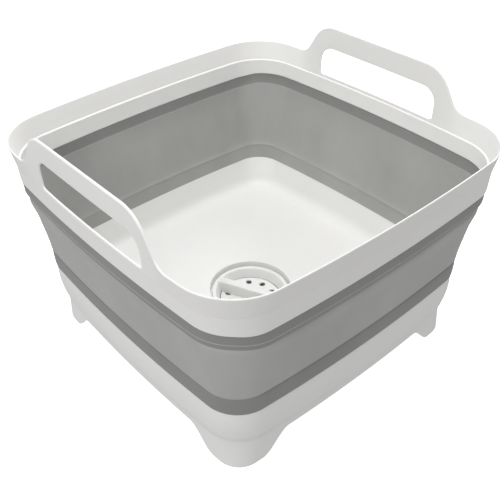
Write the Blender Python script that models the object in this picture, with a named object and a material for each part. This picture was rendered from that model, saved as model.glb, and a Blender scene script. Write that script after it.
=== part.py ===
"""A square wash tub that folds flat: white rim with two carry handles, grey rubber wall, footed base, drain.

Metres, +Z up. The origin is the middle of the footprint, on the surface that the feet stand on.
The carry handles are on the -X and +X sides. Everything folds, lifts and turns about the Z axis.
"""

import math

import bmesh
import bpy

# Plan shape. A "half" is half the width across two opposite sides at their middle.
SIDE_BOW = 0.0038
CORNER_LESS_HALF = 0.1032
CORNER_STEPS = 4
CREASE_ANGLE = math.radians(35)
WALL_SIDE_POINTS = (0.0, 0.045, 0.082)

# Heights of the whole tub, from the surface that it stands on.
RIM_TOP = 0.1855
RIM_LEDGE = 0.1694
RIM_KINK = 0.1678
RIM_EDGE_INSIDE = 0.1557
RIM_EDGE_OUTSIDE = 0.1513
BASE_EDGE_INSIDE = 0.0688
BASE_EDGE_OUTSIDE = 0.0634
FIT_GAP = 0.0003
RIM_FIT_GAP = 0.0012
BASE_FIT_GAP = 0.0006

# Rim section.
LIP_HALF = 0.1506
LIP_THICK = 0.0024
LIP_ROUND = 0.0012
RIM_INSIDE_HALF = 0.1428
RIM_OUTSIDE_HALF = 0.1453
RIM_KINK_HALF = 0.1470
LEDGE_WIDTH = 0.0014
LEDGE_SLOPE = 0.0008

# Carry handle, seen from its own side.
HANDLE_RISE = 0.0316
HANDLE_FACE_X = 0.1474
HANDLE_THICK = 0.0026
HANDLE_FLAT = 0.050
HANDLE_SHOULDER = 0.026
HANDLE_FILLET = 0.014
HANDLE_SLOPE = math.radians(57)
HANDLE_FOOT = 0.092
HANDLE_SIDE_POINTS = (0.0, 0.030, 0.050, 0.057, 0.063, 0.068, 0.072, 0.077, 0.081, 0.084, 0.088, 0.092)
SLOT_HALF = 0.063
SLOT_BOTTOM = 0.1720
SLOT_TOP = 0.1980
SLOT_TOP_ROUND = 0.013
SLOT_BOTTOM_ROUND = 0.003
SLOT_ARC_STEPS = 4
SLOT_CUTTER_REACH = 0.023

# Folding wall: a band on the base, a band on the rim, and the folds that nest between them.
FOLDS = 4
FOLD_BOTTOM = 0.0835
FOLD_TOP = 0.1355
FOLD_FIRST_INSIDE = 0.13385
FOLD_THICK = 0.0016
FOLD_CLEARANCE = 0.00045
LOWER_BAND_INSIDE = 0.1300
LOWER_BAND_OUTSIDE = 0.1334
UPPER_BAND_INSIDE = 0.14205
UPPER_BAND_OUTSIDE = 0.1448

# Base: basin, skirt and feet.
BASIN_TOP_HALF = 0.1289
BASE_TOP_HALF = 0.1322
BASIN_LOW_HALF = 0.1223
BASIN_LOW = 0.0490
BASIN_TURN_HALF = 0.1200
BASIN_TURN = 0.0457
FLOOR_HALF = 0.1170
FLOOR_CORNER = 0.0220
FLOOR_EDGE = 0.0442
BASE_WALL = 0.0022
SKIRT_BULGE_HALF = 0.1328
SKIRT_BULGE = 0.0540
SKIRT_TURN_HALF = 0.1312
SKIRT_TURN = 0.0400
SKIRT_STEP_HALF = 0.1300
SKIRT_STEP = 0.0310
SKIRT_STEP_CORNER = 0.0304
SKIRT_ROOT = 0.0600
FOOT_HALF = 0.1274
FOOT_CORNER = 0.0203
ARCH_HEIGHT = 0.0199
ARCH_FLAT = 0.0727
FOOT_START = 0.0976
FOOT_SIDE_POINTS = (0.0, 0.040, 0.070, 0.076, 0.082, 0.088, 0.094, 0.100)

# Drain well, outlet and strainer, all round about Z.
WELL_RADIUS = 0.0358
WELL_EDGE = 0.0345
WELL_SHELF = 0.0282
WELL_BORE = 0.0334
WELL_FLOOR_RADIUS = 0.0298
WELL_FLOOR = 0.0175
WELL_ROOT = 0.0305
WELL_FLANGE = 0.0347
WELL_WALL = 0.0022
OUTLET_RADIUS = 0.0110
OUTLET_COLLAR = 0.0140
OUTLET_BOTTOM = 0.0100
STRAINER_RADIUS = 0.0342
STRAINER_TOP = 0.0305
STRAINER_MOUTH = 0.0310
STRAINER_FLOOR_RADIUS = 0.0272
STRAINER_FLOOR = 0.0225
STRAINER_WALL = 0.0016
STRAINER_SEGMENTS = 32
GRIP_ANGLE = math.radians(114)
GRIP_WIDTH = 0.0074
GRIP_TOP = 0.0333
GRIP_BEVEL = 0.0012
SLOTS = 10
SLOT_FIRST_ANGLE = math.radians(16)
SLOT_INNER = 0.0180
SLOT_OUTER = 0.0232
SLOT_WIDTH = 0.0048
STOPPER_RADIUS = 0.0150
STOPPER_PLUG_RADIUS = 0.0102
STOPPER_PLUG_BOTTOM = 0.0125
STOPPER_SEGMENTS = 24
FINE_ROUND = 0.0006

WHITE = (0.82, 0.83, 0.83, 1.0)
GREY = (0.29, 0.29, 0.28, 1.0)
RUBBER = (0.16, 0.16, 0.16, 1.0)
WHITE_ROUGHNESS = 0.38
GREY_ROUGHNESS = 0.55
RUBBER_ROUGHNESS = 0.65


def clear_scene():
    for obj in list(bpy.data.objects):
        bpy.data.objects.remove(obj, do_unlink=True)


def plastic(name, colour, roughness):
    material = bpy.data.materials.new(name)
    material.use_nodes = True
    shader = material.node_tree.nodes["Principled BSDF"]
    shader.inputs["Base Color"].default_value = colour
    shader.inputs["Roughness"].default_value = roughness
    shader.inputs["Metallic"].default_value = 0.0
    return material


def smoothstep(value, start, end):
    t = min(max((value - start) / (end - start), 0.0), 1.0)
    return t * t * (3 - 2 * t)


def plan_radius(angle, half, corner):
    """Distance from the Z axis to a square with bowed sides and round corners, in the direction of angle."""
    turn = angle % (math.pi / 2)
    turn = min(turn, math.pi / 2 - turn)
    chord = half - corner
    side_radius = (chord**2 + SIDE_BOW**2) / (2 * SIDE_BOW)
    side_centre = half - side_radius
    reach = side_radius - corner
    middle = (side_centre + math.sqrt(2 * reach**2 - side_centre**2)) / 2
    swing = math.atan2(middle, middle - side_centre)
    join = math.atan2(side_radius * math.sin(swing), side_centre + side_radius * math.cos(swing))
    if turn < join:
        across = side_centre * math.sin(turn)
        return side_centre * math.cos(turn) + math.sqrt(side_radius**2 - across**2)
    along = middle * (math.cos(turn) + math.sin(turn))
    return along + math.sqrt(along**2 - 2 * middle**2 + corner**2)


def plan_angles(side_points, half):
    """Directions of the points round one plan, from distances along half a side, then round each corner."""
    eighth = [math.atan2(distance, half) for distance in side_points]
    first = math.atan2(CORNER_LESS_HALF, half)
    eighth += [first + (math.pi / 4 - first) * i / CORNER_STEPS for i in range(CORNER_STEPS)]
    quarter = eighth + [math.pi / 4] + [math.pi / 2 - angle for angle in reversed(eighth[1:])]
    return [side * math.pi / 2 + angle for side in range(4) for angle in quarter]


def square_ring(angles, half, z, corner=None):
    """One level of the tub: points round the plan at height z."""
    corner = half - CORNER_LESS_HALF if corner is None else corner
    ring = []
    for angle in angles:
        radius = plan_radius(angle, half, corner)
        ring.append([radius * math.cos(angle), radius * math.sin(angle), z])
    return ring


def round_ring(angles, radius, z):
    return [[radius * math.cos(angle), radius * math.sin(angle), z] for angle in angles]


def swept_loop(name, rings, material):
    """A closed solid from rings that go once round its section, the last one joined to the first."""
    mesh = bpy.data.meshes.new(name)
    count = len(rings[0])
    points = [point for ring in rings for point in ring]
    faces = []
    for level in range(len(rings)):
        above = (level + 1) % len(rings)
        for i in range(count):
            after = (i + 1) % count
            faces.append((level * count + i, above * count + i, above * count + after, level * count + after))
    mesh.from_pydata(points, [], faces)
    return finish_mesh(name, mesh, material)


def finish_mesh(name, mesh, material):
    solid = bmesh.new()
    solid.from_mesh(mesh)
    bmesh.ops.remove_doubles(solid, verts=solid.verts, dist=1e-7)
    bmesh.ops.recalc_face_normals(solid, faces=solid.faces)
    solid.to_mesh(mesh)
    solid.free()
    mesh.shade_smooth()
    mesh.set_sharp_from_angle(angle=CREASE_ANGLE)
    mesh.materials.append(material)
    obj = bpy.data.objects.new(name, mesh)
    bpy.context.scene.collection.objects.link(obj)
    return obj


def lathe(name, profile, segments, material):
    """A solid turned about Z. Its profile starts and ends on the axis, where the ends become points."""
    angles = [2 * math.pi * i / segments for i in range(segments)]
    mesh = bpy.data.meshes.new(name)
    inner = profile[1:-1]
    points = [point for radius, z in inner for point in round_ring(angles, radius, z)]
    points += [[0, 0, profile[0][1]], [0, 0, profile[-1][1]]]
    first_tip = len(points) - 2
    last_tip = len(points) - 1
    faces = []
    for i in range(segments):
        after = (i + 1) % segments
        faces.append((first_tip, i, after))
        for level in range(len(inner) - 1):
            low = level * segments
            high = low + segments
            faces.append((low + i, high + i, high + after, low + after))
        end = (len(inner) - 1) * segments
        faces.append((last_tip, end + after, end + i))
    mesh.from_pydata(points, [], faces)
    return finish_mesh(name, mesh, material)


def prism(name, outline, low, high, material):
    """An outline in X and Y, extruded from low to high along Z."""
    count = len(outline)
    mesh = bpy.data.meshes.new(name)
    points = [(x, y, low) for x, y in outline] + [(x, y, high) for x, y in outline]
    faces = [tuple(reversed(range(count))), tuple(range(count, 2 * count))]
    faces += [(i, (i + 1) % count, count + (i + 1) % count, count + i) for i in range(count)]
    mesh.from_pydata(points, [], faces)
    return finish_mesh(name, mesh, material)


def use_boolean(target, tool, operation):
    tool.hide_render = True
    tool.display_type = "WIRE"
    modifier = target.modifiers.new(f"{operation.lower()} {tool.name}", "BOOLEAN")
    modifier.object = tool
    modifier.operation = operation
    modifier.solver = "EXACT"


def handle_height(y):
    """Height of the handle's outline over the lip: flat top, round shoulder, straight flank, fillet."""
    across = abs(y)
    if across <= HANDLE_FLAT:
        return HANDLE_RISE
    if across >= HANDLE_FOOT:
        return 0.0
    shoulder_end = HANDLE_FLAT + HANDLE_SHOULDER * math.sin(HANDLE_SLOPE)
    fillet_start = HANDLE_FOOT - HANDLE_FILLET * math.sin(HANDLE_SLOPE)
    shoulder_drop = HANDLE_SHOULDER * (1 - math.cos(HANDLE_SLOPE))
    fillet_rise = HANDLE_FILLET * (1 - math.cos(HANDLE_SLOPE))
    if across < shoulder_end:
        fall = HANDLE_SHOULDER - math.sqrt(HANDLE_SHOULDER**2 - (across - HANDLE_FLAT) ** 2)
        return HANDLE_RISE - fall
    if across > fillet_start:
        return HANDLE_FILLET - math.sqrt(HANDLE_FILLET**2 - (HANDLE_FOOT - across) ** 2)
    share = (across - shoulder_end) / (fillet_start - shoulder_end)
    top = HANDLE_RISE - shoulder_drop
    return top + (fillet_rise - top) * share


def lip_ring(angles, half, drop, handle_x):
    """A ring along the lip, which leaves the flare and rises to follow each handle's outline."""
    ring = square_ring(angles, half, RIM_TOP - drop)
    for point in ring:
        x, y, _ = point
        if abs(x) < abs(y) or abs(y) > HANDLE_FOOT:
            continue
        upright = 1 - smoothstep(abs(y), HANDLE_FLAT + HANDLE_SHOULDER, HANDLE_FOOT)
        point[0] = math.copysign(abs(x) + (handle_x - abs(x)) * upright, x)
        point[2] += handle_height(y)
    return ring


def rim_frame(material):
    angles = plan_angles(HANDLE_SIDE_POINTS, HANDLE_FACE_X)
    inner_face = HANDLE_FACE_X - HANDLE_THICK
    ledge_half = RIM_INSIDE_HALF + LEDGE_SLOPE
    rings = [
        square_ring(angles, RIM_INSIDE_HALF, RIM_EDGE_INSIDE),
        square_ring(angles, ledge_half, RIM_LEDGE - LEDGE_SLOPE),
        square_ring(angles, ledge_half + LEDGE_WIDTH, RIM_LEDGE),
        lip_ring(angles, LIP_HALF - LIP_THICK, LIP_ROUND, inner_face),
        lip_ring(angles, LIP_HALF - LIP_THICK / 2, 0.0, HANDLE_FACE_X - HANDLE_THICK / 2),
        lip_ring(angles, LIP_HALF, LIP_ROUND, HANDLE_FACE_X),
        square_ring(angles, RIM_KINK_HALF, RIM_KINK),
        square_ring(angles, RIM_OUTSIDE_HALF, RIM_EDGE_OUTSIDE),
    ]
    rim = swept_loop("rim_frame", rings, material)
    for side, name in ((-1, "left_slot_cutter"), (1, "right_slot_cutter")):
        cutter = prism(name, slot_outline(), -SLOT_CUTTER_REACH, SLOT_CUTTER_REACH, material)
        cutter.rotation_euler = (math.pi / 2, 0, math.pi / 2)
        cutter.location = (side * HANDLE_FACE_X, 0, 0)
        use_boolean(rim, cutter, "DIFFERENCE")
    return rim


def slot_outline():
    """The hand slot's outline as (y, z), anticlockwise from its lower left corner."""
    outline = []
    corners = [
        (SLOT_HALF, SLOT_BOTTOM, SLOT_BOTTOM_ROUND, -90),
        (SLOT_HALF, SLOT_TOP, SLOT_TOP_ROUND, 0),
        (-SLOT_HALF, SLOT_TOP, SLOT_TOP_ROUND, 90),
        (-SLOT_HALF, SLOT_BOTTOM, SLOT_BOTTOM_ROUND, 180),
    ]
    for y, z, radius, start in corners:
        centre_y = y - math.copysign(radius, y)
        centre_z = z + radius if z == SLOT_BOTTOM else z - radius
        for i in range(SLOT_ARC_STEPS + 1):
            angle = math.radians(start + 90 * i / SLOT_ARC_STEPS)
            outline.append((centre_y + radius * math.cos(angle), centre_z + radius * math.sin(angle)))
    return outline


def wall_band(name, inside, outside, bottoms, tops, material):
    """A ring of the wall. bottoms and tops are heights at its inner and outer faces."""
    angles = plan_angles(WALL_SIDE_POINTS, FOLD_FIRST_INSIDE)
    rings = [
        square_ring(angles, inside, bottoms[0]),
        square_ring(angles, inside, tops[0]),
        square_ring(angles, outside, tops[1]),
        square_ring(angles, outside, bottoms[1]),
    ]
    return swept_loop(name, rings, material)


def folding_wall(material):
    """The wall's pieces from the base upwards: lower band, nesting folds, upper band."""
    lower = wall_band(
        "wall_lower_band",
        LOWER_BAND_INSIDE,
        LOWER_BAND_OUTSIDE,
        (BASE_EDGE_INSIDE + FIT_GAP, BASE_EDGE_OUTSIDE + BASE_FIT_GAP),
        (FOLD_BOTTOM, FOLD_BOTTOM),
        material,
    )
    height = (FOLD_TOP - FOLD_BOTTOM) / FOLDS
    folds = []
    for i in range(FOLDS):
        inside = FOLD_FIRST_INSIDE + i * (FOLD_THICK + FOLD_CLEARANCE)
        low = FOLD_BOTTOM + i * height + FIT_GAP
        high = FOLD_BOTTOM + (i + 1) * height
        ends = ((low, low), (high, high))
        folds.append(wall_band(f"wall_fold_{i + 1}", inside, inside + FOLD_THICK, *ends, material))
    upper = wall_band(
        "wall_upper_band",
        UPPER_BAND_INSIDE,
        UPPER_BAND_OUTSIDE,
        (FOLD_TOP + FIT_GAP, FOLD_TOP + FIT_GAP),
        (RIM_EDGE_INSIDE - RIM_FIT_GAP, RIM_EDGE_OUTSIDE - RIM_FIT_GAP),
        material,
    )
    return lower, folds, upper


def foot_ring(angles, half):
    """The skirt's lower edge: down to the ground at the corners, up in an arch along each side."""
    ring = square_ring(angles, half, 0.0, FOOT_CORNER + half - FOOT_HALF)
    for point in ring:
        along = min(abs(point[0]), abs(point[1]))
        point[2] = ARCH_HEIGHT * (1 - smoothstep(along, ARCH_FLAT, FOOT_START))
    return ring


def wash_basin(material):
    """The bowl of the base: a floor that falls to the drain well, and sloping sides up to the wall."""
    angles = plan_angles(FOOT_SIDE_POINTS, FOOT_HALF)
    basin_corner = FLOOR_CORNER + BASIN_LOW_HALF - FLOOR_HALF
    well_side = WELL_RADIUS + WELL_WALL + FIT_GAP
    rings = [
        round_ring(angles, well_side, WELL_FLANGE),
        square_ring(angles, FLOOR_HALF, FLOOR_EDGE, FLOOR_CORNER),
        square_ring(angles, BASIN_TURN_HALF, BASIN_TURN, basin_corner),
        square_ring(angles, BASIN_LOW_HALF, BASIN_LOW, basin_corner),
        square_ring(angles, BASIN_TOP_HALF, BASE_EDGE_INSIDE),
        square_ring(angles, BASIN_TOP_HALF, SKIRT_ROOT),
        square_ring(angles, BASIN_LOW_HALF + BASE_WALL, BASIN_LOW - BASE_WALL, basin_corner),
        square_ring(angles, FLOOR_HALF, FLOOR_EDGE - BASE_WALL, FLOOR_CORNER),
        round_ring(angles, well_side, WELL_ROOT),
    ]
    return swept_loop("wash_basin", rings, material)


def foot_skirt(material):
    """The base's outer skirt: it hangs from the basin's top edge, with a foot at each corner."""
    angles = plan_angles(FOOT_SIDE_POINTS, FOOT_HALF)
    inner_corner = SKIRT_STEP_CORNER - BASE_WALL
    rings = [
        square_ring(angles, BASIN_TOP_HALF + FIT_GAP, BASE_EDGE_INSIDE - FIT_GAP),
        square_ring(angles, BASE_TOP_HALF, BASE_EDGE_OUTSIDE),
        square_ring(angles, SKIRT_BULGE_HALF, SKIRT_BULGE),
        square_ring(angles, SKIRT_TURN_HALF, SKIRT_TURN),
        square_ring(angles, SKIRT_STEP_HALF, SKIRT_STEP, SKIRT_STEP_CORNER),
        foot_ring(angles, FOOT_HALF),
        foot_ring(angles, FOOT_HALF - BASE_WALL),
        square_ring(angles, SKIRT_STEP_HALF - BASE_WALL, SKIRT_STEP + FINE_ROUND, inner_corner),
        square_ring(angles, SKIRT_TURN_HALF - BASE_WALL, SKIRT_TURN + FINE_ROUND),
        square_ring(angles, BASIN_TOP_HALF + FIT_GAP, SKIRT_ROOT),
    ]
    return swept_loop("foot_skirt", rings, material)


def drain_well(material):
    """The round well in the basin's floor, with a shelf for the strainer and an outlet spout."""
    angles = plan_angles(FOOT_SIDE_POINTS, FOOT_HALF)
    side = WELL_RADIUS + WELL_WALL
    profile = [
        (OUTLET_RADIUS, WELL_FLOOR),
        (WELL_FLOOR_RADIUS, WELL_FLOOR),
        (WELL_BORE, WELL_SHELF),
        (WELL_RADIUS - FINE_ROUND, WELL_SHELF),
        (WELL_RADIUS, WELL_EDGE - FINE_ROUND),
        (WELL_RADIUS + FINE_ROUND, WELL_EDGE),
        (side, WELL_FLANGE),
        (side, WELL_SHELF - WELL_WALL),
        (WELL_FLOOR_RADIUS + WELL_WALL, WELL_FLOOR - WELL_WALL),
        (OUTLET_COLLAR, WELL_FLOOR - WELL_WALL),
        (OUTLET_COLLAR, OUTLET_BOTTOM),
        (OUTLET_RADIUS, OUTLET_BOTTOM),
    ]
    return swept_loop("drain_well", [round_ring(angles, radius, z) for radius, z in profile], material)


def strainer_basket(material):
    """A perforated cup with a ring lip and a grip bar across its mouth."""
    outer_wall = STRAINER_MOUTH + STRAINER_WALL - FINE_ROUND
    under_lip = WELL_SHELF + FIT_GAP
    profile = [
        (0.0, STRAINER_FLOOR),
        (STRAINER_FLOOR_RADIUS, STRAINER_FLOOR),
        (STRAINER_MOUTH, STRAINER_TOP - FINE_ROUND),
        (STRAINER_MOUTH + FINE_ROUND, STRAINER_TOP),
        (STRAINER_RADIUS - FINE_ROUND, STRAINER_TOP),
        (STRAINER_RADIUS, STRAINER_TOP - FINE_ROUND),
        (STRAINER_RADIUS, under_lip),
        (outer_wall, under_lip),
        (STRAINER_FLOOR_RADIUS + STRAINER_WALL, STRAINER_FLOOR - STRAINER_WALL),
        (0.0, STRAINER_FLOOR - STRAINER_WALL),
    ]
    basket = lathe("strainer_basket", profile, STRAINER_SEGMENTS, material)
    use_boolean(basket, grip_bar(material), "UNION")
    for i in range(SLOTS):
        angle = SLOT_FIRST_ANGLE + 2 * math.pi * i / SLOTS
        cutter = prism(f"slot_cutter_{i + 1}", slot_shape(), 0.0, STRAINER_FLOOR + FINE_ROUND, material)
        cutter.rotation_euler = (0, 0, angle)
        use_boolean(basket, cutter, "DIFFERENCE")
    return basket


def slot_shape():
    """A short slot along X with half-round ends."""
    radius = SLOT_WIDTH / 2
    outline = []
    for centre, start in ((SLOT_OUTER - radius, -90), (SLOT_INNER + radius, 90)):
        for i in range(SLOT_ARC_STEPS):
            angle = math.radians(start + 180 * i / (SLOT_ARC_STEPS - 1))
            outline.append((centre + radius * math.cos(angle), radius * math.sin(angle)))
    return outline


def grip_bar(material):
    """The bar across the strainer, with its top edges bevelled and its foot sunk in the cup's floor."""
    reach = STRAINER_MOUTH + FINE_ROUND
    side = GRIP_WIDTH / 2
    corner = GRIP_BEVEL
    section = [
        (-side, STRAINER_FLOOR - STRAINER_WALL / 2),
        (side, STRAINER_FLOOR - STRAINER_WALL / 2),
        (side, GRIP_TOP - corner),
        (side - corner, GRIP_TOP),
        (corner - side, GRIP_TOP),
        (-side, GRIP_TOP - corner),
    ]
    foot = STRAINER_FLOOR_RADIUS
    count = len(section)
    mesh = bpy.data.meshes.new("grip_bar")
    points = []
    for end in (-1, 1):
        for y, z in section:
            rise = min((z - STRAINER_FLOOR) / (STRAINER_TOP - STRAINER_FLOOR), 1.0)
            points.append((end * (foot + (reach - foot) * max(rise, 0.0)), y, z))
    faces = [tuple(reversed(range(count))), tuple(range(count, 2 * count))]
    faces += [(i, (i + 1) % count, count + (i + 1) % count, count + i) for i in range(count)]
    mesh.from_pydata(points, [], faces)
    bar = finish_mesh("grip_bar", mesh, material)
    bar.rotation_euler = (0, 0, GRIP_ANGLE)
    return bar


def drain_stopper(material):
    """The rubber disc under the strainer, with a plug that fills the outlet."""
    seat = WELL_FLOOR + FIT_GAP
    top = STRAINER_FLOOR - STRAINER_WALL - FIT_GAP
    profile = [
        (0.0, top),
        (STOPPER_RADIUS - FINE_ROUND, top),
        (STOPPER_RADIUS, top - FINE_ROUND),
        (STOPPER_RADIUS, seat),
        (STOPPER_PLUG_RADIUS, seat),
        (STOPPER_PLUG_RADIUS - FINE_ROUND, STOPPER_PLUG_BOTTOM),
        (0.0, STOPPER_PLUG_BOTTOM),
    ]
    return lathe("drain_stopper", profile, STOPPER_SEGMENTS, material)


def axis_empty(name, z, pieces):
    """An empty on the Z axis that carries the pieces of one moving body."""
    empty = bpy.data.objects.new(name, None)
    empty.location = (0, 0, z)
    bpy.context.scene.collection.objects.link(empty)
    bpy.context.view_layer.update()
    for piece in pieces:
        piece.parent = empty
        piece.matrix_parent_inverse = empty.matrix_world.inverted()
    return empty


def build():
    clear_scene()
    white = plastic("white_plastic", WHITE, WHITE_ROUGHNESS)
    grey = plastic("grey_rubber_wall", GREY, GREY_ROUGHNESS)
    rubber = plastic("dark_rubber", RUBBER, RUBBER_ROUGHNESS)
    basin = wash_basin(white)
    skirt = foot_skirt(white)
    well = drain_well(white)
    rim = rim_frame(white)
    lower, folds, upper = folding_wall(grey)
    for piece in (skirt, well, lower):
        piece.parent = basin
    axis_empty("rim_slide", RIM_TOP, [rim, upper])
    for fold in folds:
        axis_empty(f"{fold.name}_slide", FOLD_BOTTOM, [fold])
    stopper = drain_stopper(rubber)
    basket = strainer_basket(white)
    axis_empty("drain_lift", WELL_FLOOR, [stopper])
    axis_empty("strainer_turn", STRAINER_TOP, [basket])


build()
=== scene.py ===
"""The finished look of a square wash tub that folds flat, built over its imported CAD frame.

Metres, +Z up, the same frame as the CAD: the feet stand on z = 0 and the carry handles are on -X and +X.
Each visible piece is made here in mesh code and stands for the CAD nodes that it covers.
"""

import math

import bmesh
import bpy
import numpy as np
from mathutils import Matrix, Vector
from mathutils.geometry import delaunay_2d_cdt


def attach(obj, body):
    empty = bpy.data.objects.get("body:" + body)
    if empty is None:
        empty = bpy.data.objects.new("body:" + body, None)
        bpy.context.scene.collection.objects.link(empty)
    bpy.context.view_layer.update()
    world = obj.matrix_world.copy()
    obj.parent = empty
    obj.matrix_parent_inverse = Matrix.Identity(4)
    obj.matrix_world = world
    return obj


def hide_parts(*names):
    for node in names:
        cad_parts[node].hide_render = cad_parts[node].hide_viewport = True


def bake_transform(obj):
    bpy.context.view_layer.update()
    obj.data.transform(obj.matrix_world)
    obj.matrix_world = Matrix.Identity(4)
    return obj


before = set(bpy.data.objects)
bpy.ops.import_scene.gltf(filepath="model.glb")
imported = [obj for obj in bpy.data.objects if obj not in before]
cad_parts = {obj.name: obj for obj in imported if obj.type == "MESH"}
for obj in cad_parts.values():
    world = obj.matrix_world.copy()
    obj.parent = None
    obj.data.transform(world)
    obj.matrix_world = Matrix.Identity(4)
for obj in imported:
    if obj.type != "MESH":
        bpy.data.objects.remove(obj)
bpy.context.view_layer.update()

# ---------------------------------------------------------------- sizes, in metres

# How far a side bows outwards, and half the length of its bowed stretch between the round corners.
SIDE_BOW = 0.0038
HALF_LESS_CORNER = 0.1032
# Where the handle's part of the rim meets the rest, and the points along a side up to there.
SEAM = 0.092
STRAIGHT = np.array([0, 12, 24, 36, 48, 56, 62, 66, 70, 73, 76, 79, 82, 85, 88, 90, 92]) / 1000
# Points between the seam and a round corner as shares of the way, and steps over half a corner.
SIDE_END_SHARES = np.array([0.34, 0.67])
CORNER_STEPS = 12
# The size of the plan whose directions the drain's circles share.
STATION_HALF = 0.120

RIM_TOP = 0.1855
RIM_LEDGE = 0.1694
LEDGE_LOW = 0.1686
RIM_KINK = 0.1678
RIM_KINK_TOP = 0.1682
RIM_ROW_LOW = 0.1535
RIM_EDGE_OUTSIDE = 0.1525
RIM_EDGE_INSIDE = 0.1557
# The rim's two faces as (height, half width).
RIM_OUTSIDE = ((RIM_ROW_LOW, 0.1452), (RIM_KINK, 0.1464), (RIM_KINK_TOP, 0.1467), (RIM_TOP, 0.1506))
RIM_INSIDE = ((RIM_ROW_LOW, 0.1428), (LEDGE_LOW, 0.1436), (RIM_LEDGE, 0.1450), (RIM_TOP, 0.1492))
# Half the length of a side between its round corners, as (height, length).
RIM_CHORD_OUTSIDE = ((RIM_ROW_LOW, 0.1078), (RIM_TOP, 0.1050))
RIM_CHORD_INSIDE = ((RIM_LEDGE, HALF_LESS_CORNER), (RIM_TOP, 0.1050))
WALL_CHORD = ((0.1370, HALF_LESS_CORNER), (0.1530, 0.1072))
RIM_EDGE_ROUND = 0.0011
# The heights at which the rim has a row of points, below the ledge and above it.
RIM_ROWS_LOW = (
    RIM_ROW_LOW,
    0.1540,
    0.1580,
    0.1630,
    RIM_KINK - 0.0005,
    RIM_KINK,
    RIM_KINK_TOP,
    LEDGE_LOW,
    RIM_LEDGE,
)
RIM_ROWS_HIGH = (0.1730, 0.1770, 0.1810)

# Depths in from a rounded edge that get a row of points, as shares of its width.
EDGE_DEPTHS = (0.0, 0.06, 0.25, 0.55, 1.0, 1.7)
# Where in the thickness an edge's crest lies, as a share from the back face to the front.
EDGE_INWARD = 0.3

HANDLE_RISE = 0.0316
HANDLE_FACE_X = 0.1474
HANDLE_THICK = 0.0022
HANDLE_FLAT = 0.050
HANDLE_SHOULDER = 0.026
HANDLE_FILLET = 0.014
HANDLE_SLOPE = math.radians(57)
HANDLE_STATIONS = 47
HANDLE_GRID_Y = np.arange(-0.090, 0.0901, 0.005)
HANDLE_GRID_Z = np.arange(0.1715, 0.216, 0.004)
HANDLE_GRID_GAP = 0.0036
SLOT_HALF = 0.063
SLOT_BOTTOM = 0.1720
SLOT_TOP = 0.1980
SLOT_TOP_ROUND = 0.013
SLOT_BOTTOM_ROUND = 0.003
SLOT_STEP = 0.005

# The rubber wall's section as (half width, height): down its outside, then up its inside.
WALL_OUTSIDE = (
    (0.1447, 0.1524),
    (0.1449, 0.1490),
    (0.1449, 0.1460),
    (0.1449, 0.1438),
    (0.1451, 0.1434),
    (0.1450, 0.1431),
    (0.1446, 0.1428),
    (0.1440, 0.1410),
    (0.1434, 0.1385),
    (0.1429, 0.1366),
    (0.1429, 0.1360),
    (0.1432, 0.1354),
    (0.1433, 0.1340),
    (0.1430, 0.1316),
    (0.1419, 0.1275),
    (0.1404, 0.1220),
    (0.1391, 0.1160),
    (0.1380, 0.1090),
    (0.1368, 0.1020),
    (0.1357, 0.0950),
    (0.1349, 0.0890),
    (0.1345, 0.0850),
    (0.1344, 0.0832),
    (0.1341, 0.0822),
    (0.1333, 0.0814),
    (0.1329, 0.0806),
    (0.1331, 0.0798),
    (0.1336, 0.0790),
    (0.1338, 0.0770),
    (0.1338, 0.0730),
    (0.1336, 0.0690),
    (0.1334, 0.0660),
    (0.1330, 0.0640),
    (0.1321, 0.0637),
)
WALL_INSIDE = (
    (0.1288, 0.0691),
    (0.1293, 0.0708),
    (0.1298, 0.0740),
    (0.1304, 0.0785),
    (0.1307, 0.0808),
    (0.1304, 0.0820),
    (0.1305, 0.0832),
    (0.1313, 0.0846),
    (0.1321, 0.0870),
    (0.1330, 0.0910),
    (0.1340, 0.0970),
    (0.1352, 0.1040),
    (0.1366, 0.1120),
    (0.1382, 0.1200),
    (0.1396, 0.1265),
    (0.1408, 0.1325),
    (0.1416, 0.1385),
    (0.1419, 0.1430),
    (0.1420, 0.1448),
    (0.1424, 0.1458),
    (0.1426, 0.1480),
    (0.1426, 0.1530),
    (0.1425, 0.1554),
)
WALL_CURVE_STEPS = 3
# Stretches of height with painted shade, and how light each part of the wall is painted.
# The bands stand for shadow under the rim and in downward-facing grooves, and for less light passing through
# the thicker rubber; the inside is painted a little darker than the outside.
PAINTED_SHADE_BANDS_OUTSIDE = ((0.1368, 0.1429), (0.1438, 0.1530), (0.0640, 0.0800))
PAINTED_SHADE_BANDS_INSIDE = ((0.1452, 0.1560),)
OUTSIDE_SHADE = 1.0
PAINTED_INSIDE_SHADE = 0.893
PAINTED_BAND_SHADE = 0.60
# How much lower the rim's lower edge and the wall's upper grooves lie on the two sides without handles.
PLAIN_SIDE_DROP = 0.0022
# The dip starts and ends at these shares of the way out to such a side, so it falls within the round corner.
PLAIN_SIDE_START = 0.900
PLAIN_SIDE_END = 0.985
# The height above which the wall takes a growing share of the plain sides' dip, full at the rim's lowest
# row.
WALL_FOLD_START = 0.0680

# The base's section as (half width, height, corner radius): its outside from the top down to the feet.
SKIRT_OUTSIDE = (
    (0.1322, 0.0634, 0.0290),
    (0.1326, 0.0600, 0.0295),
    (0.1328, 0.0555, 0.0298),
    (0.1328, 0.0510, 0.0300),
    (0.1326, 0.0470, 0.0302),
    (0.1322, 0.0430, 0.0303),
    (0.1317, 0.0395, 0.0304),
    (0.1311, 0.0360, 0.0304),
    (0.1305, 0.0330, 0.0304),
    (0.1300, 0.0312, 0.0304),
)
STEP_UNDER = (0.1293, 0.0303, 0.0296)
FOOT_UPPER = (0.1281, 0.0215, 0.0262)
FOOT_HALF = 0.1274
FOOT_CORNER = 0.0203
SKIRT_WALL = 0.0022
ARCH_HEIGHT = 0.0199
ARCH_FLAT = 0.0727
ARCH_END = 0.0976
UNDER_STEP_LIFT = 0.0006
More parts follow.
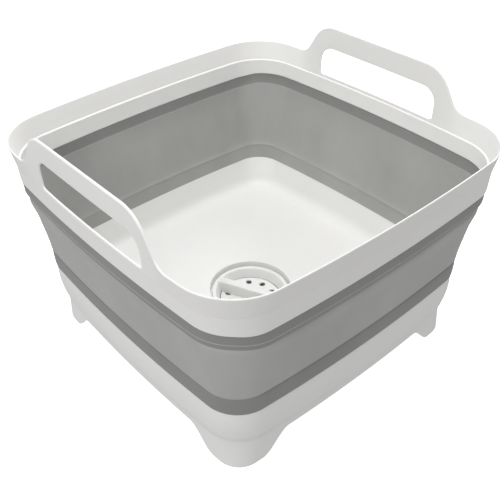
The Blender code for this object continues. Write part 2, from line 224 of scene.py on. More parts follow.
# The basin's section, from its wall's top to the edge of its floor.
BASIN_TOP = (0.1289, 0.0688, 0.0257)
BASIN_WALL_LOW = (0.1235, 0.0526, 0.0285)
BASIN_TURN = (0.1209, 0.0446, 0.0259)
FLOOR_EDGE = (0.1129, 0.0439, 0.0190)
FLOOR_STEPS = 9
# The drain well's section as (radius, height), from the outlet up to the floor.
WELL_MOUTH = (0.0364, 0.0345)
WELL_RINGS = (
    (0.0110, 0.0175),
    (0.0200, 0.0177),
    (0.0298, 0.0181),
    (0.0334, 0.0282),
    (0.0352, 0.0282),
    (0.0357, 0.0310),
    (0.0358, 0.0337),
    (0.0360, 0.0343),
)
# The underside, from the skirt's top inwards, then down round the well to the outlet's end.
BASIN_UNDER = ((0.1289, 0.0600, 0.0257), (0.1245, 0.0468, 0.0274), (0.1205, 0.0426, 0.0240))
FLOOR_UNDER_EDGE = (0.1129, 0.0417, 0.0190)
FLOOR_UNDER_MOUTH = (0.0380, 0.0322)
WELL_UNDER = ((0.0380, 0.0260), (0.0320, 0.0153), (0.0140, 0.0153), (0.0140, 0.0100), (0.0110, 0.0100))
TUB_EDGE_ROUND = 0.0006

GRIP_ANGLE = math.radians(114)
GRIP_WIDTH = 0.0074
GRIP_TOP = 0.0333
GRIP_EDGE_ROUND = 0.0013
GRIP_ROOT = 0.0008
GRIP_REACH_LOW = 0.0272
GRIP_REACH_HIGH = 0.0322
GRIP_FLARE = 0.008
# Stations along the bar, from end to end. Past the last but two its top comes down to the strainer's ring.
GRIP_STATIONS = np.array([-1.0, -0.95, -0.86, -0.5, 0.0, 0.5, 0.86, 0.95, 1.0])
GRIP_END_START = 0.86
GRIP_END_Z = 0.0305
STRAINER_FLOOR = 0.0225
STRAINER_FLOOR_RADIUS = 0.0272
STRAINER_FLOOR_EDGE = STRAINER_FLOOR_RADIUS + 0.0006
STRAINER_WALL = 0.0016
STRAINER_SEGMENTS = 96
STRAINER_SECTION = (
    (STRAINER_FLOOR_RADIUS, STRAINER_FLOOR),
    (0.0288, 0.0261),
    (0.0304, 0.0297),
    (0.0308, 0.0302),
    (0.0315, 0.0305),
    (0.0336, 0.0305),
    (0.0340, 0.0303),
    (0.0342, 0.0299),
    (0.0342, 0.0285),
    (0.0320, 0.0285),
    (0.0288, STRAINER_FLOOR - STRAINER_WALL),
    (0.0268, STRAINER_FLOOR - STRAINER_WALL),
    (0.0268, STRAINER_FLOOR),
)
# Radii of the extra points that keep the strainer floor's triangles even.
STRAINER_LINE_RADIUS = 0.0105
STRAINER_SPOT_RADII = (0.004, 0.0075)
HOLES = 10
HOLE_FIRST = math.radians(16)
HOLE_INNER = 0.0180
HOLE_OUTER = 0.0232
HOLE_WIDTH = 0.0048
HOLE_EDGE_ROUND = 0.0005
STOPPER_SEGMENTS = 64
STOPPER_SECTION = (
    (0.0001, 0.0204),
    (0.0120, 0.0204),
    (0.0144, 0.0203),
    (0.0149, 0.0200),
    (0.0150, 0.0194),
    (0.0150, 0.0181),
    (0.0146, 0.0178),
    (0.0104, 0.0178),
    (0.0102, 0.0174),
    (0.0100, 0.0132),
    (0.0096, 0.0127),
    (0.0088, 0.0125),
    (0.0001, 0.0125),
)

# The pale floor and the backdrop that it rises into, as (radius, height) from the middle outwards.
STUDIO_FLOOR_Z = -0.0002
STUDIO_RINGS = ((10.0, STUDIO_FLOOR_Z), (12.0, 0.6), (12.6, 3.0), (12.6, 14.0))
STUDIO_SIDES = 64
LIGHT_TARGET = (0.0, 0.0, 0.1)


# ---------------------------------------------------------------- meshes

def new_object(name, points, faces, material, crease=35.0, merge=5e-6):
    """A smooth-shaded object from points and faces, closed up where points coincide."""
    mesh = bpy.data.meshes.new(name)
    mesh.from_pydata([tuple(map(float, p)) for p in points], [], [tuple(map(int, f)) for f in faces])
    solid = bmesh.new()
    solid.from_mesh(mesh)
    bmesh.ops.remove_doubles(solid, verts=solid.verts, dist=merge)
    bmesh.ops.dissolve_degenerate(solid, edges=solid.edges, dist=1e-7)
    bmesh.ops.recalc_face_normals(solid, faces=solid.faces)
    solid.to_mesh(mesh)
    solid.free()
    mesh.shade_smooth()
    mesh.set_sharp_from_angle(angle=math.radians(crease))
    mesh.materials.append(material)
    obj = bpy.data.objects.new(name, mesh)
    bpy.context.scene.collection.objects.link(obj)
    return obj


def round_edges(obj, width, segments, angle):
    """Rounds the edges where two faces meet at more than an angle in degrees."""
    bevel = obj.modifiers.new("rounded edges", "BEVEL")
    bevel.width = width
    bevel.segments = segments
    bevel.limit_method = "ANGLE"
    bevel.angle_limit = math.radians(angle)
    bevel.harden_normals = True
    bevel.use_clamp_overlap = True


def apply_modifiers(obj):
    """Turns the modifiers' result into the object's own mesh."""
    graph = bpy.context.evaluated_depsgraph_get()
    mesh = bpy.data.meshes.new_from_object(obj.evaluated_get(graph), depsgraph=graph)
    obj.modifiers.clear()
    obj.data = mesh


def smoothstep(value, start, end):
    """0 up to the start, 1 from the end, and a smooth rise between."""
    share = np.clip((value - start) / (end - start), 0.0, 1.0)
    return share * share * (3 - 2 * share)


# ---------------------------------------------------------------- the tub's plan

def side_circle(half, corner):
    """The bowed side's radius and centre, the round corner's centre, and the turn where they meet."""
    chord = half - corner
    radius = (chord**2 + SIDE_BOW**2) / (2 * SIDE_BOW)
    centre = half - radius
    reach = radius - corner
    middle = (centre + math.sqrt(2 * reach**2 - centre**2)) / 2
    swing = math.atan2(middle, middle - centre)
    return radius, centre, middle, swing


def side_x(along, half, chord):
    """How far out the side is, at a distance along it from its middle."""
    radius, centre, _, _ = side_circle(half, half - chord)
    return centre + np.sqrt(radius**2 - along**2)


def plan(half, z, corner):
    """Points once round the tub at one height. Every size has as many points, at matching places."""
    radius, centre, middle, swing = side_circle(half, corner)
    join = radius * math.sin(swing)
    along = np.concatenate([STRAIGHT, SEAM + (join - SEAM) * SIDE_END_SHARES])
    turns = np.linspace(swing, math.pi / 4, CORNER_STEPS + 1)
    x = np.concatenate([centre + np.sqrt(radius**2 - along**2), middle + corner * np.cos(turns)])
    y = np.concatenate([along, middle + corner * np.sin(turns)])
    eighth = np.column_stack([x, y])
    quarter = np.concatenate([eighth, eighth[-2:0:-1, ::-1]])
    whole = []
    for turn in range(4):
        c, s = round(math.cos(turn * math.pi / 2)), round(math.sin(turn * math.pi / 2))
        x = quarter[:, 0] * c - quarter[:, 1] * s
        y = quarter[:, 0] * s + quarter[:, 1] * c
        whole.append(np.column_stack([x, y]))
    flat = np.concatenate(whole)
    return np.column_stack([flat, np.full(len(flat), z)])


def circle(radius, z):
    """A circle about Z, with its points in the same directions as those of a plan of STATION_HALF."""
    flat = plan(STATION_HALF, 0.0, STATION_HALF - HALF_LESS_CORNER)[:, :2]
    flat = flat / np.linalg.norm(flat, axis=1)[:, None] * radius
    return np.column_stack([flat, np.full(len(flat), z)])


def sweep(name, rings, material, **options):
    """A closed solid from rings that go once round its section."""
    count = len(rings[0])
    around = np.arange(count)
    after = (around + 1) % count
    faces = []
    for level in range(len(rings)):
        low, high = level * count, (level + 1) % len(rings) * count
        faces += np.column_stack([low + around, high + around, high + after, low + after]).tolist()
    return new_object(name, np.concatenate(rings), faces, material, **options)


# ---------------------------------------------------------------- sheets with rounded edges

def edge_share(depth):
    """A rounded edge's thickness at this depth in from it, as a share of the sheet's."""
    return math.sqrt(max(0.0, 1 - (1 - min(depth, 1.0)) ** 2))


def triangulate(outlines, lines, spots, edge, keep):
    """Triangles of a flat sheet. An outline is rows of (x, y, inward x, inward y) and if it is closed."""
    points, shares, joins = [], [], []

    def add(line, share, closed):
        first = len(points)
        points.extend(map(tuple, line))
        shares.extend([share] * len(line))
        joins.extend((first + i, first + i + 1) for i in range(len(line) - 1))
        if closed:
            joins.append((first + len(line) - 1, first))

    for outline, closed in outlines:
        for depth in EDGE_DEPTHS:
            add(outline[:, :2] + outline[:, 2:] * depth * edge, edge_share(depth), closed)
    for line, closed in lines:
        add(line, 1.0, closed)
    for spot in spots:
        points.append(tuple(spot))
        shares.append(1.0)
    flat, _, triangles, origins, _, _ = delaunay_2d_cdt([Vector(p) for p in points], joins, [], 0, 1e-7)
    flat = np.array([tuple(p) for p in flat])
    share = np.array([min([shares[i] for i in origin], default=1.0) for origin in origins])
    triangles = np.array([t for t in triangles if len(t) == 3])
    return flat, share, triangles[keep(flat[triangles].mean(axis=1))]


def both_sides(flat, share, triangles, front, back, open_line=None):
    """A sheet's two faces, thinned towards its rounded edges, and the strip along each square edge."""
    middle = back + (front - back) * EDGE_INWARD
    share_column = share[:, None]
    points = np.concatenate([
        middle + (front - middle) * share_column,
        middle + (back - middle) * share_column,
    ])
    count = len(flat)
    faces = [tuple(t) for t in triangles] + [tuple(t[::-1] + count) for t in triangles]
    used = {}
    for t in triangles:
        for a, b in ((t[0], t[1]), (t[1], t[2]), (t[2], t[0])):
            used[(min(a, b), max(a, b))] = used.get((min(a, b), max(a, b)), 0) + 1
    for (a, b), times in used.items():
        if times > 1 or share[a] < 0.5:
            continue
        if open_line is not None and open_line(flat[a]) and open_line(flat[b]):
            continue
        faces.append((a, b, b + count, a + count))
    return points, faces


def inside(points, loop):
    """Which points lie inside a closed loop."""
    x, y = points[:, 0], points[:, 1]
    found = np.zeros(len(points), bool)
    for (x0, y0), (x1, y1) in zip(loop, np.roll(loop, -1, axis=0)):
        if y0 == y1:
            continue
        crosses = (y0 > y) != (y1 > y)
        found ^= crosses & (x < (x1 - x0) * (y - y0) / (y1 - y0) + x0)
    return found


def clear_of(points, others, gap):
    """The points that keep a gap to all the others."""
    distance = np.linalg.norm(points[:, None, :] - others[None, :, :], axis=2).min(axis=1)
    return points[distance > gap]


# ---------------------------------------------------------------- the rim and its handles

def handle_top():
    """The handle's outline from -SEAM to SEAM as rows of (y, height, inward y, inward height)."""
    half = []
    for y in np.linspace(0, HANDLE_FLAT, 9)[:-1]:
        half.append((y, HANDLE_RISE, 0.0))
    for turn in np.linspace(0, HANDLE_SLOPE, 10):
        y = HANDLE_FLAT + HANDLE_SHOULDER * math.sin(turn)
        half.append((y, HANDLE_RISE - HANDLE_SHOULDER * (1 - math.cos(turn)), turn))
    for turn in np.linspace(HANDLE_SLOPE, 0, 10):
        half.append((SEAM - HANDLE_FILLET * math.sin(turn), HANDLE_FILLET * (1 - math.cos(turn)), turn))
    rows = []
    for side in (-1, 1):
        for y, rise, turn in half[::-1] if side < 0 else half[1:]:
            rows.append((side * y, RIM_TOP + rise, -side * math.sin(turn), -math.cos(turn)))
    return np.array(rows)


def slot_edge():
    """The hand slot's outline, anticlockwise, with the way into the plastic all round it."""
    rows = []
    corners = (
        (SLOT_HALF, SLOT_BOTTOM, SLOT_BOTTOM_ROUND, -90),
        (SLOT_HALF, SLOT_TOP, SLOT_TOP_ROUND, 0),
        (-SLOT_HALF, SLOT_TOP, SLOT_TOP_ROUND, 90),
        (-SLOT_HALF, SLOT_BOTTOM, SLOT_BOTTOM_ROUND, 180),
    )
    for y, z, radius, start in corners:
        centre = (y - math.copysign(radius, y), z + radius if z == SLOT_BOTTOM else z - radius)
        for degrees in np.linspace(start, start + 90, 10):
            out = (math.cos(math.radians(degrees)), math.sin(math.radians(degrees)))
            rows.append((centre[0] + radius * out[0], centre[1] + radius * out[1], *out))
    closed = []
    for here, there in zip(rows, rows[1:] + rows[:1]):
        here, there = np.array(here), np.array(there)
        steps = max(1, int(np.linalg.norm(there[:2] - here[:2]) / SLOT_STEP))
        closed += [here + (there - here) * i / steps for i in range(steps)]
    return np.array(closed)


def rim_height(row, bottom):
    """Height of a row. Below the ledge the rows spread down to the rim's bevelled lower edge."""
    low = bottom + (row - RIM_ROW_LOW) * (RIM_LEDGE - bottom) / (RIM_LEDGE - RIM_ROW_LOW)
    return np.where(row < RIM_LEDGE, low, row)


def at_height(profile, row):
    """The value that a list of (height, value) has at a height."""
    rows, values = zip(*profile)
    return np.interp(row, rows, values)


def handle_sheet_x(y, row, top, profile, chords, knee, upright_x):
    """Distance of one face of the rim from the middle, where it rises and stands up into the handle."""
    outward = 1 - smoothstep(np.abs(y), HANDLE_FLAT + HANDLE_SHOULDER, SEAM)
    lip = side_x(y, profile[-1][1], chords[-1][1])
    lip = lip + (upright_x - lip) * outward
    foot = side_x(y, at_height(profile, knee), at_height(chords, knee))
    share = np.clip((row - knee) / (top - knee), 0.0, 1.0)
    below = np.array([side_x(a, at_height(profile, r), at_height(chords, r)) for a, r in zip(y, row)])
    return np.where(row > knee, foot + (lip - foot) * share, below)


def handle_part(side):
    """The rim along one side, with its handle, as points and faces."""
    top = handle_top()
    slot = slot_edge()
    along = np.linspace(-SEAM, SEAM, HANDLE_STATIONS)
    lines = [(np.column_stack([along, np.full(len(along), row)]), False) for row in RIM_ROWS_LOW]
    spots = [(end * SEAM, row) for end in (-1, 1) for row in RIM_ROWS_HIGH]
    grid = np.array([(y, z) for y in HANDLE_GRID_Y for z in HANDLE_GRID_Z])
    grid = grid[grid[:, 1] < np.interp(grid[:, 0], top[:, 0], top[:, 1])]
    grid = grid[~inside(grid, slot[:, :2])]
    grid = clear_of(grid, np.concatenate([top[:, :2], slot[:, :2]]), HANDLE_GRID_GAP)

    def keep(points):
        under = points[:, 1] < np.interp(points[:, 0], top[:, 0], top[:, 1])
        return under & ~inside(points, slot[:, :2])

    outlines = [(top, False), (slot, True)]
    flat, share, triangles = triangulate(outlines, lines, spots + grid.tolist(), RIM_EDGE_ROUND, keep)
    y, row = flat[:, 0], flat[:, 1]
    top_here = np.interp(y, top[:, 0], top[:, 1])
    out_x = handle_sheet_x(y, row, top_here, RIM_OUTSIDE, RIM_CHORD_OUTSIDE, RIM_KINK_TOP, HANDLE_FACE_X)
    upright = HANDLE_FACE_X - HANDLE_THICK
    in_x = handle_sheet_x(y, row, top_here, RIM_INSIDE, RIM_CHORD_INSIDE, RIM_LEDGE, upright)
    front = np.column_stack([side * out_x, y, rim_height(row, RIM_EDGE_OUTSIDE)])
    back = np.column_stack([side * in_x, y, rim_height(row, RIM_EDGE_INSIDE)])
    return both_sides(flat, share, triangles, front, back, lambda p: abs(abs(p[0]) - SEAM) < 1e-6)


def lowered(ring, share):
    """A ring that dips by a share of the drop on the two sides without handles."""
    reach = np.abs(ring[:, 1]) / ring[:, 1].max()
    ring[:, 2] -= PLAIN_SIDE_DROP * share * smoothstep(reach, PLAIN_SIDE_START, PLAIN_SIDE_END)
    return ring


def rim_ring(row, profile, chords, edge):
    """One face of the rim at one row, once round."""
    half = at_height(profile, row)
    ring = plan(half, float(rim_height(row, edge)), half - at_height(chords, row))
    return lowered(ring, max(0.0, (RIM_LEDGE - row) / (RIM_LEDGE - RIM_ROW_LOW)))


def rim_frame(material):
    """The whole rim: rings for the corners and the plain sides, and a handle part on each of the others."""
    rows = [*RIM_ROWS_LOW, *RIM_ROWS_HIGH]
    shares = [1.0] * len(rows)
    for depth in reversed(EDGE_DEPTHS):
        rows.append(RIM_TOP - depth * RIM_EDGE_ROUND)
        shares.append(edge_share(depth))
    faces_out, faces_in = [], []
    for row, share in zip(rows, shares):
        out = rim_ring(row, RIM_OUTSIDE, RIM_CHORD_OUTSIDE, RIM_EDGE_OUTSIDE)
        into = rim_ring(row, RIM_INSIDE, RIM_CHORD_INSIDE, RIM_EDGE_INSIDE)
        middle = into + (out - into) * EDGE_INWARD
        faces_out.append(middle + (out - middle) * share)
        faces_in.append(middle + (into - middle) * share)
    loop = faces_out + faces_in[::-1]
    count = len(loop[0])
    seam = len(STRAIGHT) - 1
    points = list(np.concatenate(loop))
    faces = []
    for start, end in ((seam, count // 2 - seam), (count // 2 + seam, count - seam)):
        for level in range(len(loop)):
            low, high = level * count, (level + 1) % len(loop) * count
            faces += [(low + i, high + i, high + i + 1, low + i + 1) for i in range(start, end)]
    for side in (-1, 1):
        more_points, more_faces = handle_part(side)
        faces += [tuple(i + len(points) for i in face) for face in more_faces]
        points += list(more_points)
    used = sorted({i for face in faces for i in face})
    place = {old: new for new, old in enumerate(used)}
    return new_object(
        "rim_with_handles",
        [points[i] for i in used],
        [tuple(place[i] for i in face) for face in faces],
        material,
        merge=3e-5,
    )


# ---------------------------------------------------------------- the rubber wall

def smooth_line(points, steps):
    """A smooth curve through a section's points."""
    points = np.array(points)
    padded = np.concatenate([[2 * points[0] - points[1]], points, [2 * points[-1] - points[-2]]])
    curve = []
    for a, b, c, d in zip(padded, padded[1:], padded[2:], padded[3:]):
        for t in np.arange(steps) / steps:
            square = (2 * a - 5 * b + 4 * c - d) * t**2
            cube = (3 * b - a - 3 * c + d) * t**3
            curve.append(0.5 * (2 * b + (c - a) * t + square + cube))
    curve.append(points[-1])
    return np.array(curve)


def in_bands(z, bands):
    """If a height lies in one of the bands of painted shade."""
    return any(low <= z <= high for low, high in bands)


def folding_wall(material):
    """The rubber wall in one piece, with its painted shade stored at each point."""
    outside = smooth_line(WALL_OUTSIDE, WALL_CURVE_STEPS)
    inner = smooth_line(WALL_INSIDE, WALL_CURVE_STEPS)
    section = np.concatenate([outside, inner])
    rings = []
    for half, z in section:
        ring = plan(half, z, half - at_height(WALL_CHORD, z))
        rings.append(lowered(ring, smoothstep(z, WALL_FOLD_START, RIM_ROW_LOW)))
    wall = sweep("folding_wall", rings, material, crease=50)
    # Painted shade: points in the bands and on the inside get darker values than the outside.
    painted_shades = [PAINTED_BAND_SHADE if in_bands(z, PAINTED_SHADE_BANDS_OUTSIDE) else OUTSIDE_SHADE for _, z in outside]
    painted_shades += [PAINTED_BAND_SHADE if in_bands(z, PAINTED_SHADE_BANDS_INSIDE) else PAINTED_INSIDE_SHADE for _, z in inner]
    attribute = wall.data.attributes.new("shade", "FLOAT", "POINT")
    attribute.data.foreach_set("value", np.repeat(painted_shades, len(wall.data.vertices) // len(section)))
    return wall


# ---------------------------------------------------------------- the base

def foot_ring(half):
    """The skirt's lower edge: on the ground at the corners, up in an arch along each side."""
    ring = plan(half, 0.0, FOOT_CORNER + half - FOOT_HALF)
    along = np.abs(ring[:, :2]).min(axis=1)
    ring[:, 2] = ARCH_HEIGHT * (1 - smoothstep(along, ARCH_FLAT, ARCH_END))
    return ring


def thinned(level):
    """A level of the skirt's outside moved in by the thickness of its wall."""
    half, z, corner = level
    return half - SKIRT_WALL, z + UNDER_STEP_LIFT, corner - SKIRT_WALL


def between(low, high, share):
    """A ring part of the way from one ring to another."""
    return low + (high - low) * share


def basin_rings():
    """The basin's inside, from the outlet up over the floor to the wall's top."""
    rings = [circle(*level) for level in WELL_RINGS]
    mouth = circle(*WELL_MOUTH)
    floor_edge = plan(*FLOOR_EDGE)
    rings += [between(mouth, floor_edge, i / FLOOR_STEPS) for i in range(FLOOR_STEPS + 1)]
    start, turn, end, top = map(np.array, (FLOOR_EDGE, BASIN_TURN, BASIN_WALL_LOW, BASIN_TOP))
    for share in np.linspace(0, 1, 9)[1:]:
        rings.append(plan(*(start * (1 - share) ** 2 + 2 * turn * share * (1 - share) + end * share**2)))
    for share in (0.3, 0.65, 1.0):
        rings.append(plan(*(end + (top - end) * share)))
    return rings


def skirt_rings():
    """The skirt's outside down to the feet, and its inside back up."""
    step = plan(*STEP_UNDER)
    upper = plan(*FOOT_UPPER)
    foot = foot_ring(FOOT_HALF)
    inner_foot = foot_ring(FOOT_HALF - SKIRT_WALL)
    inner_upper = plan(*thinned(FOOT_UPPER))
    rings = [plan(*level) for level in SKIRT_OUTSIDE]
    rings += [step, between(step, upper, 0.5), upper]
    rings += [between(upper, foot, share) for share in (0.3, 0.6, 0.85, 1.0)]
    rings += [between(inner_foot, inner_upper, share) for share in (0.0, 0.5, 1.0)]
    rings += [plan(*thinned(level)) for level in (STEP_UNDER, *SKIRT_OUTSIDE[8:3:-1])]
    return rings


def under_rings():
    """The underside of the basin and its floor, and the outside of the drain well."""
    rings = [plan(*level) for level in BASIN_UNDER]
    edge = plan(*FLOOR_UNDER_EDGE)
    mouth = circle(*FLOOR_UNDER_MOUTH)
    rings += [between(edge, mouth, share) for share in (0.0, 0.25, 0.5, 0.75, 1.0)]
    rings += [circle(*level) for level in WELL_UNDER]
    return rings


def base_tub(material):
    """The base moulding: basin, skirt with feet, and drain well in one closed shell."""
    rings = basin_rings() + skirt_rings() + under_rings()
    tub = sweep("base_tub_shell", rings, material, crease=38)
    round_edges(tub, TUB_EDGE_ROUND, 3, 38)
    apply_modifiers(tub)
    return tub


# ---------------------------------------------------------------- the drain

def lathe(profile, segments):
    """Points and faces of a closed section turned about Z."""
    angles = np.arange(segments) * 2 * math.pi / segments
    points = [(r * math.cos(a), r * math.sin(a), z) for r, z in profile for a in angles]
    faces = []
    for level in range(len(profile)):
        low, high = level * segments, (level + 1) % len(profile) * segments
        for i in range(segments):
            after = (i + 1) % segments
            faces.append((low + i, high + i, high + after, low + after))
    return points, faces


def strainer_hole(angle):
    """One short radial slot of the strainer's floor, with the way into the plastic all round it."""
    radius = HOLE_WIDTH / 2
    rows = []
    for centre, start in ((HOLE_OUTER - radius, -90), (HOLE_INNER + radius, 90)):
        for degrees in np.linspace(start, start + 180, 11):
            turn = math.radians(degrees)
            c, s = math.cos(turn), math.sin(turn)
            rows.append((centre + radius * c, radius * s, c, s))
    c, s = math.cos(angle), math.sin(angle)
    turned = [(x * c - y * s, x * s + y * c, nx * c - ny * s, nx * s + ny * c) for x, y, nx, ny in rows]
    return np.array(turned)


def strainer_floor():
    """The strainer's round floor. It thins towards each hole, so the holes' edges are rounded."""
    holes = [strainer_hole(HOLE_FIRST + 2 * math.pi * i / HOLES) for i in range(HOLES)]
    angles = np.arange(60) * math.pi / 30
    lines = []
    for radius in (STRAINER_FLOOR_EDGE, STRAINER_LINE_RADIUS):
        lines.append((np.column_stack([radius * np.cos(angles), radius * np.sin(angles)]), True))
    spots = [(r * math.cos(a), r * math.sin(a)) for r in STRAINER_SPOT_RADII for a in angles[::6]]
    spots.append((0.0, 0.0))

    def keep(points):
        out = np.linalg.norm(points, axis=1) > STRAINER_FLOOR_EDGE
        for hole in holes:
            out |= inside(points, hole[:, :2])
        return ~out

    outlines = [(hole, True) for hole in holes]
    flat, share, triangles = triangulate(outlines, lines, spots, HOLE_EDGE_ROUND, keep)
    front = np.column_stack([flat, np.full(len(flat), STRAINER_FLOOR)])
    back = front - np.array([0, 0, STRAINER_WALL])
    return both_sides(flat, share, triangles, front, back)


def grip_bar():
    """The bar across the strainer's mouth: a section with rounded upper edges, swept from wall to wall."""
    side = GRIP_WIDTH / 2
    section = [(-side, STRAINER_FLOOR - GRIP_ROOT)]
    for start, sign in ((180, -1), (90, 1)):
        for degrees in np.linspace(start, start - 90, 5):
            turn = math.radians(degrees)
            across = sign * (side - GRIP_EDGE_ROUND) + GRIP_EDGE_ROUND * math.cos(turn)
            section.append((across, GRIP_TOP - GRIP_EDGE_ROUND + GRIP_EDGE_ROUND * math.sin(turn)))
    section.append((side, STRAINER_FLOOR - GRIP_ROOT))
    c, s = math.cos(GRIP_ANGLE), math.sin(GRIP_ANGLE)
    points = []
    for share in GRIP_STATIONS:
        for across, z in section:
            rise = min(max((z - STRAINER_FLOOR) / GRIP_FLARE, 0.0), 1.0)
            along = share * (GRIP_REACH_LOW + (GRIP_REACH_HIGH - GRIP_REACH_LOW) * rise)
            drop = max(0.0, z - GRIP_END_Z) * smoothstep(abs(share), GRIP_END_START, 1.0)
            points.append((along * c - across * s, along * s + across * c, z - drop))
    count = len(section)
    faces = [tuple(range(count)), tuple(range(len(points) - 1, len(points) - 1 - count, -1))]
    for level in range(len(GRIP_STATIONS) - 1):
        low, high = level * count, (level + 1) * count
        for i in range(count):
            after = (i + 1) % count
            faces.append((low + i, high + i, high + after, low + after))
    return points, faces


def strainer(material):
    """The strainer basket: its turned wall and ring, its floor and its grip bar."""
    points, faces = lathe(STRAINER_SECTION, STRAINER_SEGMENTS)
    for more_points, more_faces in (strainer_floor(), grip_bar()):
        faces += [tuple(i + len(points) for i in face) for face in more_faces]
        points += list(map(tuple, more_points))
    return new_object("drain_strainer", points, faces, material, crease=40)


def stopper(material):
    """The dark seal under the strainer."""
    points, faces = lathe(STOPPER_SECTION, STOPPER_SEGMENTS)
    return new_object("drain_seal", points, faces, material, crease=40)


# ---------------------------------------------------------------- materials

def node_material(name):
    """A new material with its nodes, its links and its shader."""
    material = bpy.data.materials.new(name)
    material.use_nodes = True
    nodes = material.node_tree.nodes
    return material, nodes, material.node_tree.links, nodes["Principled BSDF"]


def noise(nodes, links, vector, scale, detail, roughness=0.5):
    """A noise value over the surface."""
    node = nodes.new("ShaderNodeTexNoise")
    node.inputs["Scale"].default_value = scale
    node.inputs["Detail"].default_value = detail
    node.inputs["Roughness"].default_value = roughness
    links.new(vector, node.inputs["Vector"])
    return node.outputs["Fac"]


def ramp(nodes, links, value, stops):
    """Two colours or greys, and the mixtures between them along a value."""
    node = nodes.new("ShaderNodeValToRGB")
    for element, (position, colour) in zip(node.color_ramp.elements, stops):
        element.position = position
        element.color = (*colour, 1.0) if isinstance(colour, tuple) else (colour, colour, colour, 1.0)
    links.new(value, node.inputs["Fac"])
    return node.outputs["Color"]


def bump(nodes, links, height, distance, strength, before=None):
    """A bumped normal, on top of an earlier one if there is one."""
    node = nodes.new("ShaderNodeBump")
    node.inputs["Distance"].default_value = distance
    node.inputs["Strength"].default_value = strength
    links.new(height, node.inputs["Height"])
    if before is not None:
        links.new(before, node.inputs["Normal"])
    return node.outputs["Normal"]


def white_plastic():
    """Moulded white polypropylene: a satin skin with a faint flow unevenness and a fine tool grain."""
    material, nodes, links, shader = node_material("white_moulded_plastic")
    vector = nodes.new("ShaderNodeTexCoord").outputs["Object"]
    flow = noise(nodes, links, vector, 14.0, 3.0)
    grain = noise(nodes, links, vector, 1900.0, 2.0)
    colour = ramp(nodes, links, flow, ((0.3, (0.806, 0.806, 0.791)), (0.7, (0.826, 0.826, 0.811))))
    links.new(colour, shader.inputs["Base Color"])
    links.new(ramp(nodes, links, grain, ((0.3, 0.36), (0.7, 0.46))), shader.inputs["Roughness"])
    slow = bump(nodes, links, flow, 0.0010, 0.10)
    links.new(bump(nodes, links, grain, 0.00003, 0.25, slow), shader.inputs["Normal"])
    shader.inputs["IOR"].default_value = 1.49
    shader.inputs["Subsurface Weight"].default_value = 0.06
    shader.inputs["Subsurface Scale"].default_value = 0.002
    return material


def grey_rubber():
    """Soft grey rubber: matte, with a fine pebble grain and a soft stretched mottle that is painted
    reflection in the colour and real unevenness in roughness and bumps; the wall's painted shade darkens its
    colour.
    """
    material, nodes, links, shader = node_material("grey_soft_rubber_painted_shade")
    coordinates = nodes.new("ShaderNodeTexCoord").outputs["Object"]
    stretch = nodes.new("ShaderNodeMapping")
    stretch.inputs["Scale"].default_value = (1.0, 1.0, 0.45)
    links.new(coordinates, stretch.inputs["Vector"])
    # The stretched mottle paints the reflections of an uneven panel into the colour; it also varies the
    # roughness and the bumps.
    mottle_and_painted_reflection = noise(nodes, links, stretch.outputs["Vector"], 26.0, 4.0, 0.55)
    grain = noise(nodes, links, coordinates, 1500.0, 3.0)
    colour = ramp(nodes, links, mottle_and_painted_reflection, ((0.28, (0.372, 0.372, 0.362)), (0.72, (0.435, 0.435, 0.424))))
    # The wall's stored painted shade darkens the colour here.
    shade = nodes.new("ShaderNodeAttribute")
    shade.attribute_name = "shade"
    shaded = nodes.new("ShaderNodeVectorMath")
    shaded.operation = "MULTIPLY"
    links.new(colour, shaded.inputs[0])
    links.new(shade.outputs["Fac"], shaded.inputs[1])
    links.new(shaded.outputs["Vector"], shader.inputs["Base Color"])
    links.new(ramp(nodes, links, mottle_and_painted_reflection, ((0.3, 0.50), (0.7, 0.62))), shader.inputs["Roughness"])
    slow = bump(nodes, links, mottle_and_painted_reflection, 0.0012, 0.15)
    links.new(bump(nodes, links, grain, 0.00004, 0.35, slow), shader.inputs["Normal"])
    shader.inputs["IOR"].default_value = 1.47
    shader.inputs["Sheen Weight"].default_value = 0.12
    shader.inputs["Sheen Roughness"].default_value = 0.5
    return material


def dark_rubber():
    """The drain seal: dark rubber with a dusty grain."""
    material, nodes, links, shader = node_material("dark_seal_rubber")
    vector = nodes.new("ShaderNodeTexCoord").outputs["Object"]
    dust = noise(nodes, links, vector, 320.0, 4.0)
    links.new(ramp(nodes, links, dust, ((0.3, 0.110), (0.7, 0.150))), shader.inputs["Base Color"])
    links.new(ramp(nodes, links, dust, ((0.3, 0.60), (0.7, 0.74))), shader.inputs["Roughness"])
    links.new(bump(nodes, links, dust, 0.00005, 0.3), shader.inputs["Normal"])
    return material


# ---------------------------------------------------------------- camera, floor and light

def add_camera():
    """The camera at the view to match."""
    data = bpy.data.cameras.new("camera")
    data.sensor_width = 36.0
    data.lens = 54.035
    data.shift_x = 0.0441
    data.shift_y = -0.0057
    data.clip_start = 0.01
    camera = bpy.data.objects.new("camera", data)
    camera.location = (-0.33401, -0.38323, 0.46933)
    camera.rotation_euler = (math.radians(52.4731), math.radians(1.5653), math.radians(-40.1695))
    bpy.context.scene.collection.objects.link(camera)
    bpy.context.scene.camera = camera


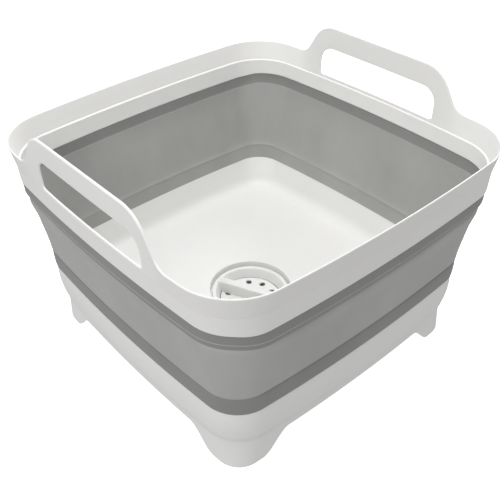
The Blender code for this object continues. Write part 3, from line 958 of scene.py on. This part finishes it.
def add_floor():
    """A pale floor that rises into a backdrop far out. It lights and shades nothing."""
    material, nodes, links, shader = node_material("pale_floor")
    shader.inputs["Base Color"].default_value = (0.85, 0.85, 0.85, 1.0)
    shader.inputs["Roughness"].default_value = 0.9
    shader.inputs["Emission Color"].default_value = (1.0, 1.0, 1.0, 1.0)
    shader.inputs["Emission Strength"].default_value = 0.75
    points = [(0.0, 0.0, STUDIO_FLOOR_Z)]
    for radius, z in STUDIO_RINGS:
        for turn in range(STUDIO_SIDES):
            angle = 2 * math.pi * turn / STUDIO_SIDES
            points.append((radius * math.cos(angle), radius * math.sin(angle), z))
    faces = [(0, 1 + i, 1 + (i + 1) % STUDIO_SIDES) for i in range(STUDIO_SIDES)]
    for level in range(len(STUDIO_RINGS) - 1):
        low, high = 1 + level * STUDIO_SIDES, 1 + (level + 1) * STUDIO_SIDES
        for i in range(STUDIO_SIDES):
            after = (i + 1) % STUDIO_SIDES
            faces.append((low + i, high + i, high + after, low + after))
    mesh = bpy.data.meshes.new("floor")
    mesh.from_pydata(points, [], faces)
    mesh.materials.append(material)
    floor = bpy.data.objects.new("floor", mesh)
    bpy.context.scene.collection.objects.link(floor)
    floor.visible_diffuse = False
    floor.visible_glossy = False
    floor.visible_shadow = False


def add_area(name, place, size, power):
    """A soft round light that looks at the tub's middle."""
    data = bpy.data.lights.new(name, "AREA")
    data.shape = "DISK"
    data.size = size
    data.energy = power
    light = bpy.data.objects.new(name, data)
    light.location = place
    light.rotation_mode = "QUATERNION"
    light.rotation_quaternion = (Vector(LIGHT_TARGET) - Vector(place)).to_track_quat("-Z", "Y")
    bpy.context.scene.collection.objects.link(light)


def add_light():
    """An even white surround and three soft lights."""
    world = bpy.data.worlds.new("studio")
    bpy.context.scene.world = world
    world.use_nodes = True
    background = world.node_tree.nodes["Background"]
    background.inputs["Color"].default_value = (1.0, 1.0, 1.0, 1.0)
    background.inputs["Strength"].default_value = 0.57
    add_area("overhead", (0.0, 0.0, 1.8), 1.0, 14.1)
    add_area("left", (-1.3, -0.2, 1.0), 1.0, 7.0)
    add_area("back right", (1.2, 0.6, 1.2), 1.0, 11.4)


# ---------------------------------------------------------------- put together

def build():
    """Makes every piece, puts it on its body and hides the CAD nodes it stands for."""
    white = white_plastic()
    grey = grey_rubber()
    rubber = dark_rubber()

    tub = base_tub(white)
    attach(tub, "base")
    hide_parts("wash_basin", "foot_skirt", "drain_well")

    rim = rim_frame(white)
    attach(rim, "rim")
    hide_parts("rim_frame")

    wall = folding_wall(grey)
    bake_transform(wall)
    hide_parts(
        "wall_lower_band",
        "wall_fold_1",
        "wall_fold_2",
        "wall_fold_3",
        "wall_fold_4",
        "wall_upper_band",
    )

    basket = strainer(white)
    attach(basket, "strainer")
    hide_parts("strainer_basket")

    seal = stopper(rubber)
    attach(seal, "stopper")
    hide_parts("drain_stopper")


bpy.context.scene.view_settings.view_transform = "Standard"
add_camera()
add_floor()
add_light()
build()
